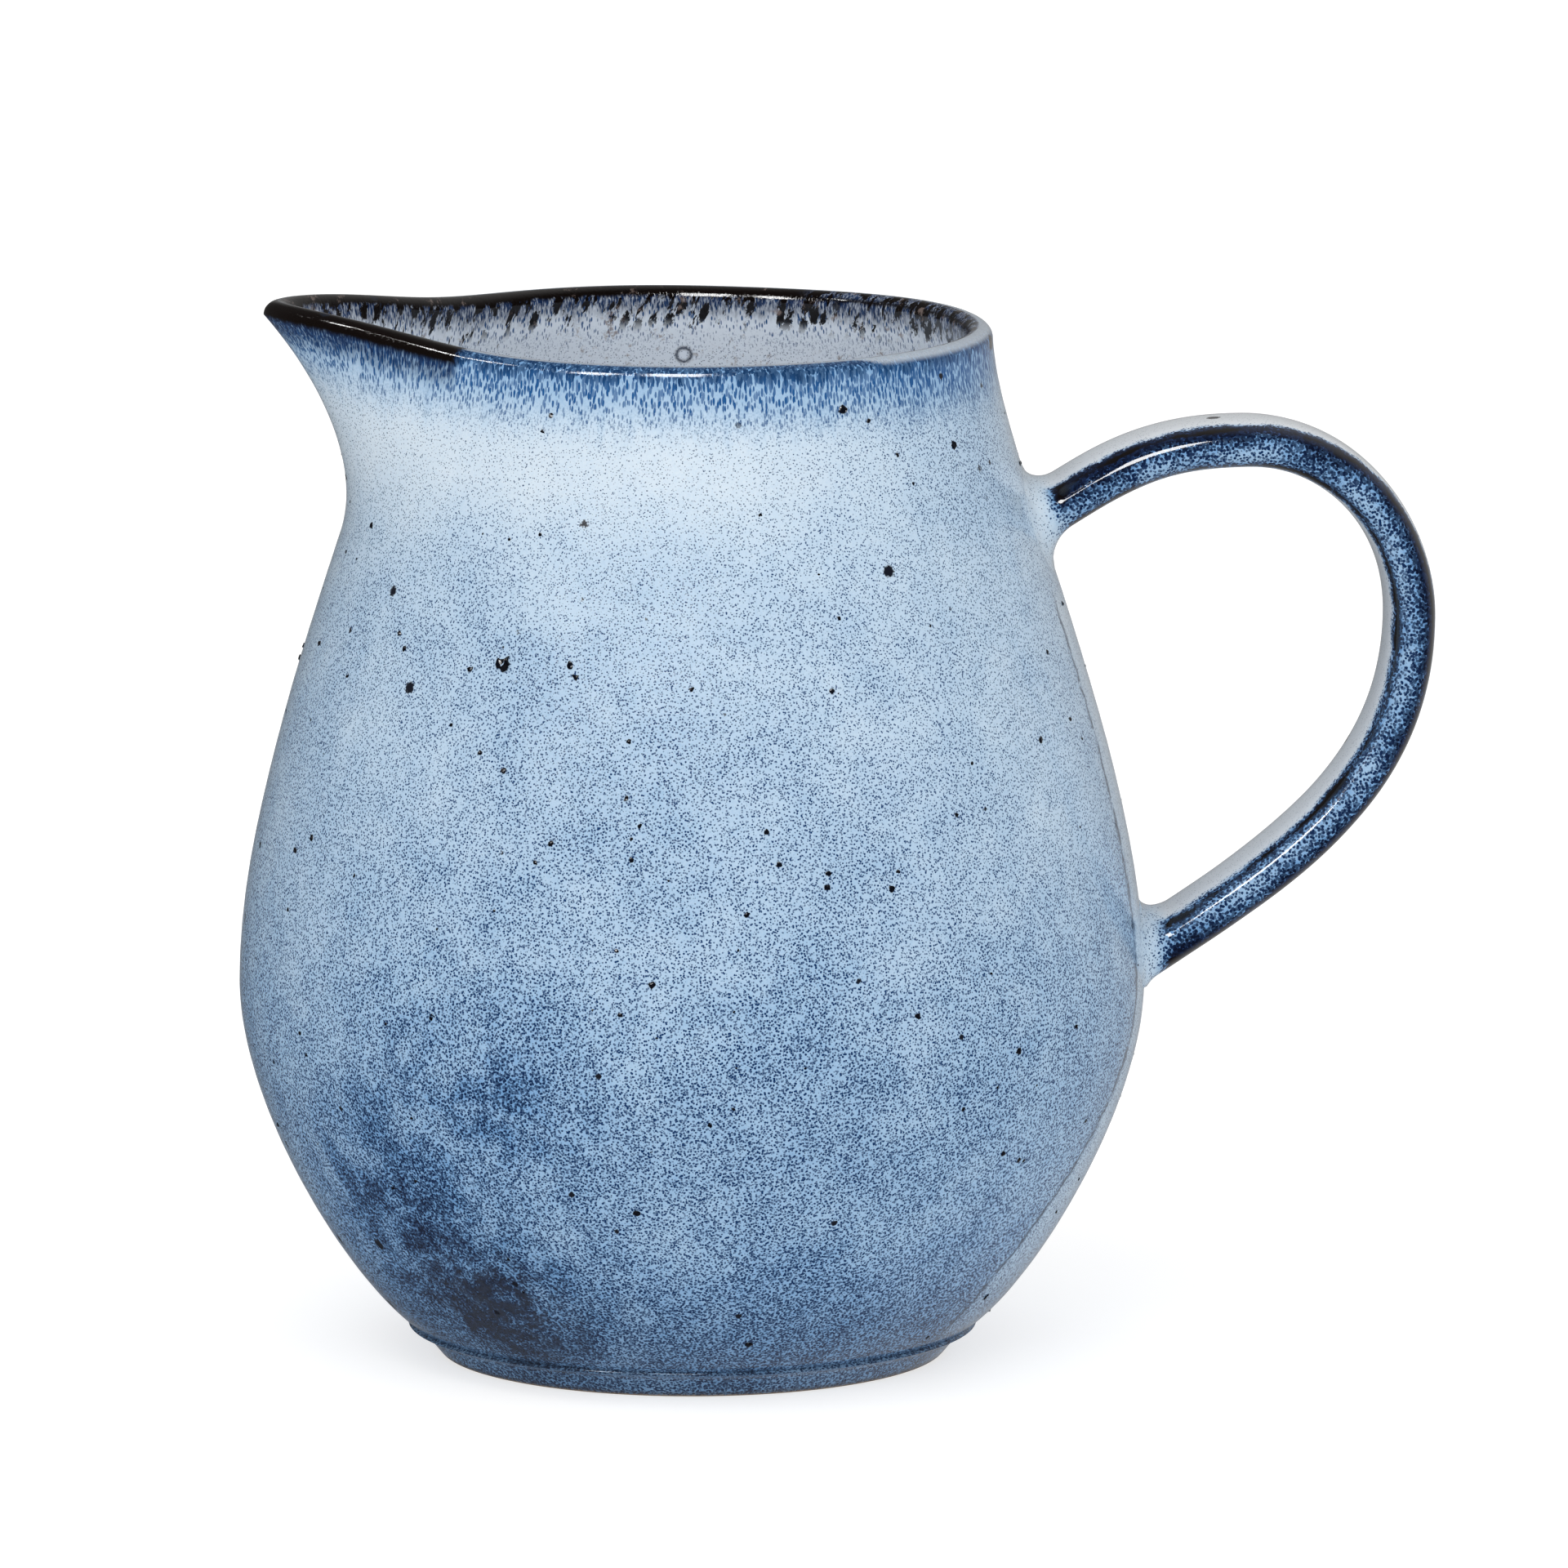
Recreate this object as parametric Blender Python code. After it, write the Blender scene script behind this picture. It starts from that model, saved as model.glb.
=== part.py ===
"""A glazed stoneware pitcher: a pear-shaped vessel with a pulled pouring lip, a turned foot ring, and a strap
handle luted on with two collars of slip.

Metres, +Z up. The vessel's spout points along -X and its handle along +X. The origin is on the surface that
the pitcher stands on, under the middle of its length, and the vessel's own axis of turning is at x = AXIS_X.
"""

import math

import bmesh
import bpy
from mathutils import Vector

# Vessel
RIM_HEIGHT = 0.160  # crest of the round part of the rim
RIM_RADIUS = 0.0465  # outside of the wall just under the rim
BELLY_RADIUS = 0.070
BELLY_HEIGHT = 0.058  # where the vessel is widest
WALL = 0.0050  # at the belly
RIM_WALL = 0.0042
FLOOR = 0.0060
FLOOR_CORNER = 0.0045  # how far inside the foot's radius the floor starts to turn up

# Shape of the vessel's outline: the share of each span that its curves hold their end directions for
FOOT_SPREAD = 0.32
BELLY_FULLNESS_BELOW = 0.39
BELLY_FULLNESS_ABOVE = 0.35
RIM_FULLNESS = 0.19
FOOT_ANGLE = math.radians(20)  # of the wall above the level where it leaves the foot
RIM_ANGLE = math.radians(3)  # that the wall leans inward at the rim

# Foot ring
FOOT_RADIUS = 0.0390  # where it stands
FOOT_FLARE = 0.0032  # how much wider it is at the wall
FOOT_HEIGHT = 0.0035
FOOT_WIDTH = 0.0055
FOOT_EDGE = 0.0006  # rounding of the ring's edges

# Pouring lip
SPOUT_REACH = 0.0195  # of its tip past the round rim
SPOUT_RISE = 0.0045  # of its tip above the round rim
SPOUT_DEPTH = 0.030  # height of wall that is drawn out with it
SPOUT_HALF_ANGLE = math.radians(20)  # at the rim
SPOUT_SPREAD = 0.8  # how much broader the drawn-out wall is at its foot
RISE_HALF_ANGLE = math.radians(27)
SPOUT_POINT = 1.5  # 2 draws a round tip, 1 a sharp one
SPOUT_FLARE = 1.8  # 1 draws a straight cone, more keeps the flare near the rim

# Handle
STRAP_WIDTH = 0.0200
STRAP_THICKNESS = 0.0076
STRAP_SQUARENESS = 2.7  # 2 is an oval section, more has flatter faces
HANDLE_BELOW_RIM = 0.0302  # from the rim down to the upper joint
HANDLE_SPAN = 0.0687  # between the two joints
HANDLE_REACH = 0.0412  # of the strap's middle line past the belly
HANDLE_ARCH = 0.0110  # of its highest point above the upper joint
HANDLE_SHOULDER = 0.0163  # of its outermost point below the upper joint
UPPER_ROOT_ANGLE = math.radians(31)  # that the strap leaves the wall at, above the level
LOWER_ROOT_ANGLE = math.radians(33)
STRAP_TENSION = 0.39  # of a quarter circle's curves

# Slip collars
COLLAR = 0.0045  # radius of the hollow between strap and wall
COLLAR_EDGE = 0.0005  # left at the collar's two thin edges
ROOT_MARGIN = 0.0030  # straight strap left past the collar

GAP = 0.0003  # between pieces that touch

# Glaze colours, as linear red, green and blue
PALE_BLUE = (0.36, 0.48, 0.65)
DEEP_BLUE = (0.06, 0.13, 0.25)
FOOT_BLUE = (0.27, 0.35, 0.44)

# Fineness
TURN_STEPS = 64
SPOUT_CROWDING = 0.40  # how much closer the turned wall's columns stand at the spout
LOWER_POINTS = 8  # on the curve of a wall below the belly
UPPER_POINTS = 13  # on the curve above it
LIP_POINTS = 6
STRAP_SIDES = 24
STRAP_POINTS = 11  # on each of the handle's three curves
CAP_RINGS = 4
COLLAR_POINTS = 5
BEVEL_SEGMENTS = 2
SHARP_ANGLE = math.radians(40)  # edges that turn more are sharp
MERGE_DISTANCE = 1e-6
BISECTIONS = 40  # halvings of a length when a line is cut to the wall

LIP_RADIUS = RIM_WALL / 2
LIP_BASE = RIM_HEIGHT - LIP_RADIUS
BODY_BASE = FOOT_HEIGHT + GAP
FLOOR_HEIGHT = BODY_BASE + FLOOR
ROOT_LENGTH = COLLAR + ROOT_MARGIN
LENGTH_TO_FRONT = max(BELLY_RADIUS, RIM_RADIUS + SPOUT_REACH)
LENGTH_TO_HANDLE = BELLY_RADIUS + HANDLE_REACH + STRAP_THICKNESS / 2
AXIS_X = (LENGTH_TO_FRONT - LENGTH_TO_HANDLE) / 2


def bezier(start, start_pull, end_pull, end, count):
    """Points on a cubic curve, its last one left for the curve that follows."""
    points = []
    for i in range(count):
        t = i / count
        s = 1 - t
        points.append(s**3 * start + 3 * s * s * t * start_pull + 3 * s * t * t * end_pull + t**3 * end)
    return points


def outside_wall():
    """(radius, height) points up the outside of the vessel, from the foot to the lip's base."""
    foot = Vector((FOOT_RADIUS + FOOT_FLARE, BODY_BASE))
    belly = Vector((BELLY_RADIUS, BELLY_HEIGHT))
    rim = Vector((RIM_RADIUS, LIP_BASE))
    below, above = belly.y - foot.y, rim.y - belly.y
    spread = Vector((math.cos(FOOT_ANGLE), math.sin(FOOT_ANGLE))) * FOOT_SPREAD * (belly.x - foot.x)
    lean = Vector((-math.sin(RIM_ANGLE), math.cos(RIM_ANGLE))) * RIM_FULLNESS * above
    lower = bezier(foot, foot + spread, belly - Vector((0, BELLY_FULLNESS_BELOW * below)), belly, LOWER_POINTS)
    upper = bezier(belly, belly + Vector((0, BELLY_FULLNESS_ABOVE * above)), rim - lean, rim, UPPER_POINTS)
    return lower + upper + [rim]


def inside_wall():
    """(radius, height) points up the inside of the vessel, from the floor to the lip's base."""
    floor = Vector((FOOT_RADIUS - FLOOR_CORNER, FLOOR_HEIGHT))
    belly = Vector((BELLY_RADIUS - WALL, BELLY_HEIGHT))
    rim = Vector((RIM_RADIUS - RIM_WALL, LIP_BASE))
    below, above = belly.y - floor.y, rim.y - belly.y
    spread = Vector((FOOT_SPREAD * (belly.x - floor.x), 0))
    lean = Vector((-math.sin(RIM_ANGLE), math.cos(RIM_ANGLE))) * RIM_FULLNESS * above
    lower = bezier(floor, floor + spread, belly - Vector((0, BELLY_FULLNESS_BELOW * below)), belly, LOWER_POINTS)
    upper = bezier(belly, belly + Vector((0, BELLY_FULLNESS_ABOVE * above)), rim - lean, rim, UPPER_POINTS)
    return lower + upper + [rim]


def lip():
    """The round of the rim between the outside and the inside wall, without its two ends."""
    middle = Vector((RIM_RADIUS - LIP_RADIUS, LIP_BASE))
    turns = [math.pi * i / LIP_POINTS for i in range(1, LIP_POINTS)]
    return [middle + LIP_RADIUS * Vector((math.cos(a), math.sin(a))) for a in turns]


def wall_radius(height):
    """The vessel's outside radius at a height, away from the spout."""
    outline = outside_wall()
    for low, high in zip(outline, outline[1:]):
        if low.y <= height <= high.y:
            return low.x + (high.x - low.x) * (height - low.y) / (high.y - low.y)
    return outline[0].x if height < outline[0].y else outline[-1].x


def new_object(name, bm, material, axis):
    """One named solid, placed on the vessel's axis and shaded smooth apart from its sharp edges."""
    mesh = bpy.data.meshes.new(name)
    bmesh.ops.recalc_face_normals(bm, faces=bm.faces)
    bm.to_mesh(mesh)
    bm.free()
    mesh.shade_smooth()
    mesh.set_sharp_from_angle(angle=SHARP_ANGLE)
    mesh.materials.append(material)
    solid = bpy.data.objects.new(name, mesh)
    bpy.context.scene.collection.objects.link(solid)
    solid.parent = axis
    return solid


def turned(profile):
    """A bmesh turned about Z from a (radius, height) profile, which may start and end on the axis."""
    bm = bmesh.new()
    points = [bm.verts.new((-p.x, 0, p.y)) for p in profile]
    edges = [bm.edges.new(pair) for pair in zip(points, points[1:])]
    if profile[0].x > 0:
        edges.append(bm.edges.new((points[-1], points[0])))
    bmesh.ops.spin(
        bm,
        geom=points + edges,
        cent=(0, 0, 0),
        axis=(0, 0, 1),
        angle=2 * math.pi,
        steps=TURN_STEPS,
        use_merge=True,
    )
    bmesh.ops.remove_doubles(bm, verts=bm.verts, dist=MERGE_DISTANCE)
    return bm


def crowd(point):
    """Turns a point of the wall towards the spout, so that columns stand closer there."""
    turn = math.atan2(point.y, -point.x)
    turn -= SPOUT_CROWDING * math.sin(turn)
    radius = math.hypot(point.x, point.y)
    return Vector((-radius * math.cos(turn), radius * math.sin(turn), point.z))


def pull_spout(point):
    """Draws a point of the wall out and up towards the spout's tip, the lip moving as one with its base."""
    start = LIP_BASE - SPOUT_DEPTH
    drawn = (min(point.z, LIP_BASE) - start) / SPOUT_DEPTH
    if drawn <= 0:
        return point
    turn = abs(math.atan2(point.y, -point.x))
    radius = math.hypot(point.x, point.y)
    half_angle = SPOUT_HALF_ANGLE * (1 + SPOUT_SPREAD * (1 - drawn))
    bulge = SPOUT_REACH * drawn**SPOUT_FLARE * math.exp(-((turn / half_angle) ** SPOUT_POINT))
    rise = SPOUT_RISE * drawn**2 * math.exp(-((turn / RISE_HALF_ANGLE) ** 2))
    stretch = (radius + bulge) / radius
    return Vector((point.x * stretch, point.y * stretch, point.z + rise))


def make_body(material, axis):
    """The vessel: underside, outside wall, lip, inside wall and floor as one shell."""
    profile = [Vector((0, BODY_BASE))]
    profile += outside_wall()
    profile += lip()
    profile += reversed(inside_wall())
    profile.append(Vector((0, FLOOR_HEIGHT)))
    bm = turned(profile)
    for vert in bm.verts:
        if math.hypot(vert.co.x, vert.co.y) > 0:
            vert.co = pull_spout(crowd(vert.co))
    return new_object("body", bm, material, axis)


def make_foot_ring(material, axis):
    """The ring that the pitcher stands on, its edges rounded by a bevel."""
    inner = FOOT_RADIUS - FOOT_WIDTH
    corners = [(FOOT_RADIUS, 0), (FOOT_RADIUS + FOOT_FLARE, FOOT_HEIGHT), (inner, FOOT_HEIGHT), (inner, 0)]
    ring = new_object("foot_ring", turned([Vector(corner) for corner in corners]), material, axis)
    rounding = ring.modifiers.new("rounded_edges", "BEVEL")
    rounding.width = FOOT_EDGE
    rounding.segments = BEVEL_SEGMENTS
    rounding.limit_method = "ANGLE"
    rounding.angle_limit = SHARP_ANGLE
    return ring


def strap_section(side):
    """(across, through) of a point round the strap's section: a squared-off oval."""
    turn = 2 * math.pi * side / STRAP_SIDES
    power = 2 / STRAP_SQUARENESS
    across = math.copysign(abs(math.cos(turn)) ** power, math.cos(turn)) * STRAP_WIDTH / 2
    through = math.copysign(abs(math.sin(turn)) ** power, math.sin(turn)) * STRAP_THICKNESS / 2
    return Vector((across, through))


def strap_path():
    """Points along the strap's middle line between its two straight roots, and its way at the first and the last."""
    upper_height = RIM_HEIGHT - HANDLE_BELOW_RIM
    lower_height = upper_height - HANDLE_SPAN
    upper_way = Vector((math.cos(UPPER_ROOT_ANGLE), 0, math.sin(UPPER_ROOT_ANGLE)))
    lower_way = Vector((math.cos(LOWER_ROOT_ANGLE), 0, math.sin(LOWER_ROOT_ANGLE)))
    start = Vector((wall_radius(upper_height), 0, upper_height)) + upper_way * ROOT_LENGTH
    end = Vector((wall_radius(lower_height), 0, lower_height)) + lower_way * ROOT_LENGTH
    outermost = Vector((BELLY_RADIUS + HANDLE_REACH, 0, upper_height - HANDLE_SHOULDER))
    top = Vector(((start.x + outermost.x) / 2, 0, upper_height + HANDLE_ARCH))
    stops = [(start, upper_way), (top, Vector((1, 0, 0))), (outermost, Vector((0, 0, -1))), (end, -lower_way)]
    path = []
    for (a, a_way), (b, b_way) in zip(stops, stops[1:]):
        pull = STRAP_TENSION * (b - a).length
        path += bezier(a, a + a_way * pull, b - b_way * pull, b, STRAP_POINTS)
    return path + [end], upper_way, -lower_way


def strap_ring(middle, way, offset=0.0):
    """The strap's section about a point of its middle line, square to its way, grown by an offset."""
    outward = Vector((0, 1, 0)).cross(way)
    ring = []
    for side in range(STRAP_SIDES):
        flat = strap_section(side)
        flat += flat.normalized() * offset
        ring.append(middle + Vector((0, 1, 0)) * flat.x + outward * flat.y)
    return ring


def to_wall(point, way, clear):
    """Where a line from a point outside the vessel meets its wall, stopping a distance clear of it."""

    def outside(reach):
        at = point + way * reach
        return math.hypot(at.x, at.y) - wall_radius(at.z) - clear

    near, far = 0.0, BELLY_RADIUS
    for _ in range(BISECTIONS):
        middle = (near + far) / 2
        if outside(middle) > 0:
            near = middle
        else:
            far = middle
    return point + way * near


def skin(bm, rings, closed=False):
    """Faces between each ring of points and the next, and from the last to the first when it is closed."""
    loops = [[bm.verts.new(point) for point in ring] for ring in rings]
    pairs = list(zip(loops, loops[1:]))
    if closed:
        pairs.append((loops[-1], loops[0]))
    for first, second in pairs:
        for i in range(len(first)):
            j = (i + 1) % len(first)
            bm.faces.new((first[i], first[j], second[j], second[i]))
    return loops


def root_rings(ring, middle, way):
    """Rings from the middle of the strap's end out to its edge, all lying along the wall."""
    rings = []
    for step in range(1, CAP_RINGS + 1):
        share = step / CAP_RINGS
        rings.append([to_wall(middle.lerp(point, share), way, GAP) for point in ring])
    return rings


def make_handle(material, axis):
    """The strap from wall to wall, each end cut to the wall that it stands on."""
    path, upper_way, lower_way = strap_path()
    ways = [upper_way]
    ways += [(after - before).normalized() for before, after in zip(path, path[2:])]
    ways.append(lower_way)
    rings = [strap_ring(middle, way) for middle, way in zip(path, ways)]
    rings = root_rings(rings[0], path[0], -upper_way) + rings
    rings += reversed(root_rings(rings[-1], path[-1], lower_way))
    bm = bmesh.new()
    loops = skin(bm, rings)
    for loop, tip in (
        (loops[0], to_wall(path[0], -upper_way, GAP)),
        (loops[-1], to_wall(path[-1], lower_way, GAP)),
    ):
        centre = bm.verts.new(tip)
        for i in range(STRAP_SIDES):
            bm.faces.new((loop[i], loop[(i + 1) % STRAP_SIDES], centre))
    return new_object("handle", bm, material, axis)


def make_collar(name, middle, way, material, axis):
    """A ring of slip in the corner between the strap and the wall, hollow on its outer side."""
    inner = GAP + COLLAR_EDGE
    section = [(COLLAR, 0.0)]
    for step in range(COLLAR_POINTS + 1):
        turn = math.pi / 2 * step / COLLAR_POINTS
        out = inner + (COLLAR - inner) * (1 - math.sin(turn))
        up = COLLAR_EDGE + (COLLAR - COLLAR_EDGE) * (1 - math.cos(turn))
        section.append((out, up))
    section += [(GAP, COLLAR), (GAP, 0.0)]
    rings = []
    for out, up in section:
        ring = [to_wall(point, way, GAP) for point in strap_ring(middle, way, out)]
        rings.append([point - way * up for point in ring])
    bm = bmesh.new()
    skin(bm, rings, closed=True)
    return new_object(name, bm, material, axis)


def new_material(name, colour):
    """A glossy glaze of one colour."""
    material = bpy.data.materials.new(name)
    material.use_nodes = True
    shader = material.node_tree.nodes["Principled BSDF"]
    shader.inputs["Base Color"].default_value = (*colour, 1)
    shader.inputs["Roughness"].default_value = 0.2
    shader.inputs["Metallic"].default_value = 0.0
    return material


def build():
    for old in list(bpy.data.objects):
        bpy.data.objects.remove(old)
    pale_glaze = new_material("pale_blue_glaze", PALE_BLUE)
    deep_glaze = new_material("deep_blue_glaze", DEEP_BLUE)
    foot_glaze = new_material("foot_glaze", FOOT_BLUE)
    axis = bpy.data.objects.new("vessel_axis", None)
    axis.location = (AXIS_X, 0, 0)
    bpy.context.scene.collection.objects.link(axis)
    make_body(pale_glaze, axis)
    make_foot_ring(foot_glaze, axis)
    make_handle(deep_glaze, axis)
    path, upper_way, lower_way = strap_path()
    make_collar("upper_slip_collar", path[0], -upper_way, pale_glaze, axis)
    make_collar("lower_slip_collar", path[-1], lower_way, pale_glaze, axis)


build()
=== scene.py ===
# Looks for the stoneware pitcher: thrown vessel, foot ring, pulled strap and iron specks, in speckled blue glaze

import math

import bpy
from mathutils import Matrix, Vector


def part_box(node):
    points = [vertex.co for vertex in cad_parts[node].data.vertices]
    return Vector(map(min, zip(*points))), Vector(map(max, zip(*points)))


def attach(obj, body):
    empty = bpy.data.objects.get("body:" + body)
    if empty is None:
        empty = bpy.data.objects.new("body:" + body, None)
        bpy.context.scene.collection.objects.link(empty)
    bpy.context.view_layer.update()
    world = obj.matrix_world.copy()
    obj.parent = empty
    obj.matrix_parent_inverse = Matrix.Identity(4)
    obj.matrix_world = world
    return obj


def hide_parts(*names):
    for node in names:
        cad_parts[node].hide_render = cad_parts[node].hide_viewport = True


mm = 0.001


class Wire:  # one socket of a node tree, so that node maths reads as sums
    def __init__(self, tree, socket=None):
        self.tree, self.socket = tree, socket

    def node(self, kind, settings=None, sockets=None, out=0):
        made = self.tree.nodes.new(kind)
        for name, value in (settings or {}).items():
            if name == "stops":
                fillRamp(made.color_ramp, value)
            else:
                setattr(made, name, value)
        for key, value in (sockets or {}).items():
            if isinstance(value, Wire):
                self.tree.links.new(value.socket, made.inputs[key])
            else:
                made.inputs[key].default_value = value
        return Wire(self.tree, made.outputs[out]) if len(made.outputs) else Wire(self.tree)

    def other(self, out):  # another output of the same node
        return Wire(self.tree, self.socket.node.outputs[out])

    def maths(self, operation, *values):
        return self.node("ShaderNodeMath", {"operation": operation}, dict(enumerate(values)))

    def vectors(self, operation, *values, out=0):
        return self.node("ShaderNodeVectorMath", {"operation": operation}, dict(enumerate(values)), out)

    def __add__(self, value):
        return self.maths("ADD", self, value)

    def __sub__(self, value):
        return self.maths("SUBTRACT", self, value)

    def __rsub__(self, value):
        return self.maths("SUBTRACT", value, self)

    def __mul__(self, value):
        return self.maths("MULTIPLY", self, value)

    def __truediv__(self, value):
        return self.maths("DIVIDE", self, value)

    def __rtruediv__(self, value):
        return self.maths("DIVIDE", value, self)

    def __pow__(self, value):
        return self.maths("POWER", self, value)

    def __rpow__(self, value):
        return self.maths("POWER", value, self)

    def __neg__(self):
        return self.maths("MULTIPLY", self, -1.0)

    def __abs__(self):
        return self.maths("ABSOLUTE", self)

    __radd__ = __add__
    __rmul__ = __mul__

    def least(self, value):
        return self.maths("MINIMUM", self, value)

    def most(self, value):
        return self.maths("MAXIMUM", self, value)

    def hill(self, middle, width):  # a bell that is 1 at the middle
        return math.e ** -(((self - middle) / width) ** 2.0)

    def step(self, low, high):  # 0 below low, 1 above high, smooth between
        return self.node("ShaderNodeMapRange", {"interpolation_type": "SMOOTHSTEP"},
                         {"Value": self, "From Min": low, "From Max": high})

    def blend(self, first, second):  # this wire is how much of the second colour
        return self.node("ShaderNodeMix", {"data_type": "RGBA"}, {0: self, 6: first, 7: second}, 2)

    def scaled(self, share):  # a vector made longer or shorter
        return self.node("ShaderNodeVectorMath", {"operation": "SCALE"}, {0: self, "Scale": share})

    def noise(self, scale, detail=2.0, roughness=0.5, out=0):
        return self.node("ShaderNodeTexNoise", {},
                         {"Vector": self, "Scale": scale, "Detail": detail, "Roughness": roughness}, out)

    def cells(self, scale, out="Distance"):
        return self.node("ShaderNodeTexVoronoi", {}, {"Vector": self, "Scale": scale}, out)

    def parts(self):
        split = self.node("ShaderNodeSeparateXYZ", {}, {0: self})
        return split, split.other(1), split.other(2)

    def join(self, x, y, z):
        return self.node("ShaderNodeCombineXYZ", {}, {0: x, 1: y, 2: z})


def fillRamp(ramp, stops):  # stops are (place, colour) pairs in order
    while len(ramp.elements) < len(stops):
        ramp.elements.new(1.0)
    for element, (place, colour) in zip(ramp.elements, stops):
        element.position = place
        element.color = (*colour, 1.0)


def startTree(name, sizes):  # a geometry tree whose inputs are the sizes, by name
    kinds = {int: "NodeSocketInt", float: "NodeSocketFloat",
             bpy.types.Material: "NodeSocketMaterial", bpy.types.Object: "NodeSocketObject"}
    tree = bpy.data.node_groups.new(name, "GeometryNodeTree")
    tree.interface.new_socket("Geometry", in_out="INPUT", socket_type="NodeSocketGeometry")
    tree.interface.new_socket("Geometry", in_out="OUTPUT", socket_type="NodeSocketGeometry")
    keys = {}
    for label, value in sizes.items():
        made = tree.interface.new_socket(label, in_out="INPUT", socket_type=kinds[type(value)])
        keys[label] = made.identifier
    return Wire(tree).node("NodeGroupInput"), keys


def endTree(start, geometry):  # realized, smooth and glazed
    geometry = start.node("GeometryNodeRealizeInstances", {}, {0: geometry})
    geometry = start.node("GeometryNodeSetShadeSmooth", {}, {"Geometry": geometry})
    geometry = start.node("GeometryNodeSetMaterial", {},
                          {"Geometry": geometry, "Material": start.other("Glaze")})
    start.node("NodeGroupOutput", {}, {0: geometry})


def grown(name, seed, tree, keys, sizes):  # the seed mesh run through the tree, as a plain mesh object
    made = bpy.data.objects.new(name, seed)
    bpy.context.scene.collection.objects.link(made)
    nodes = made.modifiers.new(name, "NODES")
    nodes.node_group = tree
    for label, value in sizes.items():
        nodes[keys[label]] = value
    bpy.context.view_layer.update()
    mesh = bpy.data.meshes.new_from_object(made.evaluated_get(bpy.context.evaluated_depsgraph_get()))
    made.modifiers.clear()
    made.data = mesh
    mesh.name = name
    return made


def pointMesh(name, points, edges, **facts):  # loose points or a line of them, each point with its facts
    mesh = bpy.data.meshes.new(name)
    mesh.from_pydata([tuple(p) for p in points], edges, [])
    for label, values in facts.items():
        mesh.attributes.new(label, "FLOAT", "POINT").data.foreach_set("value", values)
    return mesh


def polyline(name, points, **facts):
    return pointMesh(name, points, [(i, i + 1) for i in range(len(points) - 1)], **facts)


def bow(start, startPull, endPull, end, count):  # points on a cubic curve, without its last
    ts = [i / count for i in range(count)]
    return [(1 - t)**3 * start + 3 * (1 - t)**2 * t * startPull + 3 * (1 - t) * t * t * endPull + t**3 * end
            for t in ts]


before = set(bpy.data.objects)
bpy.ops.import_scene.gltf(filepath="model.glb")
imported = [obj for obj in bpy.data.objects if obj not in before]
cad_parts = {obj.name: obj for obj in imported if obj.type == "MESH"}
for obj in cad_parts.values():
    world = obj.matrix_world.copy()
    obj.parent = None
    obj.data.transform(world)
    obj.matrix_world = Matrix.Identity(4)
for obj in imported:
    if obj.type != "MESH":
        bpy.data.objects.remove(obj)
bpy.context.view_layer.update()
bodyBox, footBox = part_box("body"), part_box("foot_ring")
beltRadius = (bodyBox[1].y - bodyBox[0].y) / 2
axisX = bodyBox[1].x - beltRadius  # the belly's far side is one belly radius behind the axis
print("frame loaded, axis at", round(axisX, 5))


glazeTone = {
    # pale coat under the speckle, and the dark speckle itself, by how deep the glaze lies
    "coat": [(0.0, (0.66, 0.735, 0.80)), (0.25, (0.50, 0.625, 0.75)), (0.5, (0.32, 0.475, 0.655)),
             (0.75, (0.15, 0.31, 0.55)), (1.0, (0.022, 0.052, 0.145))],
    "ink": [(0.0, (0.030, 0.062, 0.125)), (0.25, (0.010, 0.046, 0.145)), (0.5, (0.007, 0.034, 0.115)),
            (0.75, (0.006, 0.018, 0.062)), (1.0, (0.003, 0.006, 0.02))],
    # the inside's pale coat, made paler still as painted light for the shaded inside
    "insideCoatWithPaintedLight": (0.86, 0.92, 1.0, 1.0),
    # near-white coat of the strap's wide faces: pale glaze and painted reflection
    "strapCoatAndSheen": (0.80, 0.80, 0.81, 1.0),
    "crest": (0.52, 0.58, 0.64, 1.0),
    "running": (0.020, 0.100, 0.28, 1.0),
    "navy": (0.010, 0.028, 0.085, 1.0),
    "ironBrown": (0.0050, 0.0032, 0.0028, 1.0),
    "iron": (0.006, 0.008, 0.016, 1.0),
    "strapIron": (0.006, 0.007, 0.012, 1.0),
    "blebDark": (0.002, 0.003, 0.007, 1.0),
    "blebRusty": (0.012, 0.011, 0.012, 1.0),
    # dark line of the painted reflection beside the strap
    "creaseAndReflection": (0.020, 0.040, 0.075, 1.0),
    "lees": (0.26, 0.20, 0.18, 1.0),
    "burst": (0.030, 0.040, 0.070, 1.0),
    # colour of the burn patch, also laid on as painted shade towards the foot
    "burntAndShade": (0.052, 0.060, 0.072, 1.0),
    "footLine": (0.05, 0.05, 0.06, 1.0),
    "clay": (0.20, 0.155, 0.115, 1.0),
    # roughness of each, then index of refraction and how strongly the bump reads
    "gloss": 0.07, "strapGloss": 0.045, "footGloss": 0.14, "blebGloss": 0.10,
    "reflects": 1.5, "bump": 0.35,
}
speckle = {
    # dots to the millimetre, then how far a dot reaches in a thin coat, how it grows with depth, how soft it is
    "fineness": 2.5, "strapFineness": 2.2, "drawnFineness": 2.6,
    "reach": 0.145, "growth": 0.60, "softness": 0.08,
    "curdling": 0.75, "milkiness": 0.25, "pinsPerMm": 1.7, "pinReach": (0.15, 0.27),
}
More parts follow.
